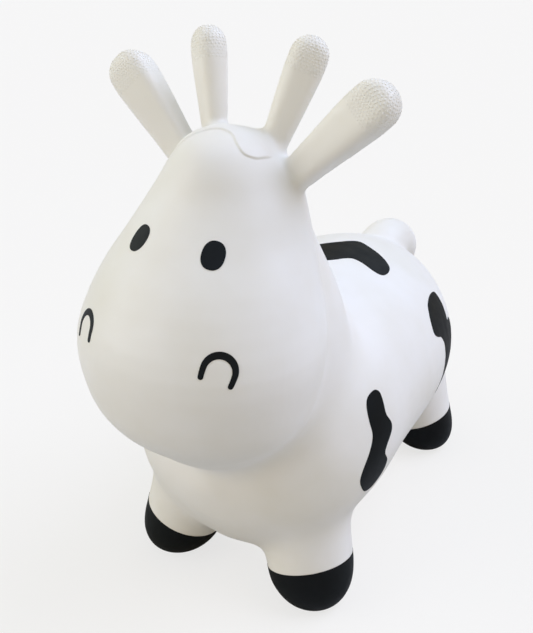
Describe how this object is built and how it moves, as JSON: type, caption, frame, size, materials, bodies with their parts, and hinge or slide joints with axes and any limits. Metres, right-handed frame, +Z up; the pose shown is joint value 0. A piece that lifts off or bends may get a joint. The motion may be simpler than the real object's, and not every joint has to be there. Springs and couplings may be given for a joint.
{
  "type": "bouncy ride-on cow",
  "caption": "Air-filled soft PVC hopping cow with ears and horns as grips, a stub tail, black hooves and spots, and a plugged air valve under the belly.",
  "frame": {"origin": "on the floor, under the middle of the box that holds the whole cow", "axes": "+Z up; +Y from the face to the tail; +X to the cow's own left side"},
  "size_m": [0.2628, 0.5516, 0.5178],
  "materials": {
    "white_pvc": "satin matt soft PVC",
    "black_pvc": "satin black colour coat",
    "face_print": "satin black colour coat",
    "plug_pvc": "glossy translucent grey"
  },
  "bodies": {
    "hopper": {"skin": "white_pvc", "hoof_front_left": "black_pvc", "hoof_front_right": "black_pvc", "hoof_rear_left": "black_pvc", "hoof_rear_right": "black_pvc", "eye_left": "face_print", "eye_right": "face_print", "nostril_left": "face_print", "nostril_right": "face_print", "spot_saddle": "black_pvc", "spot_left_haunch": "black_pvc", "spot_left_shoulder": "black_pvc", "spot_right_flank": "black_pvc", "spot_right_haunch": "black_pvc", "spot_right_shoulder": "black_pvc"},
    "valve": {"valve_plug": "plug_pvc"}
  },
  "joints": [
    {"name": "valve_pull", "type": "slide", "parent": "hopper", "child": "valve", "axis": [0, 0, -1], "range_m": [0, 0.03]}
  ]
}
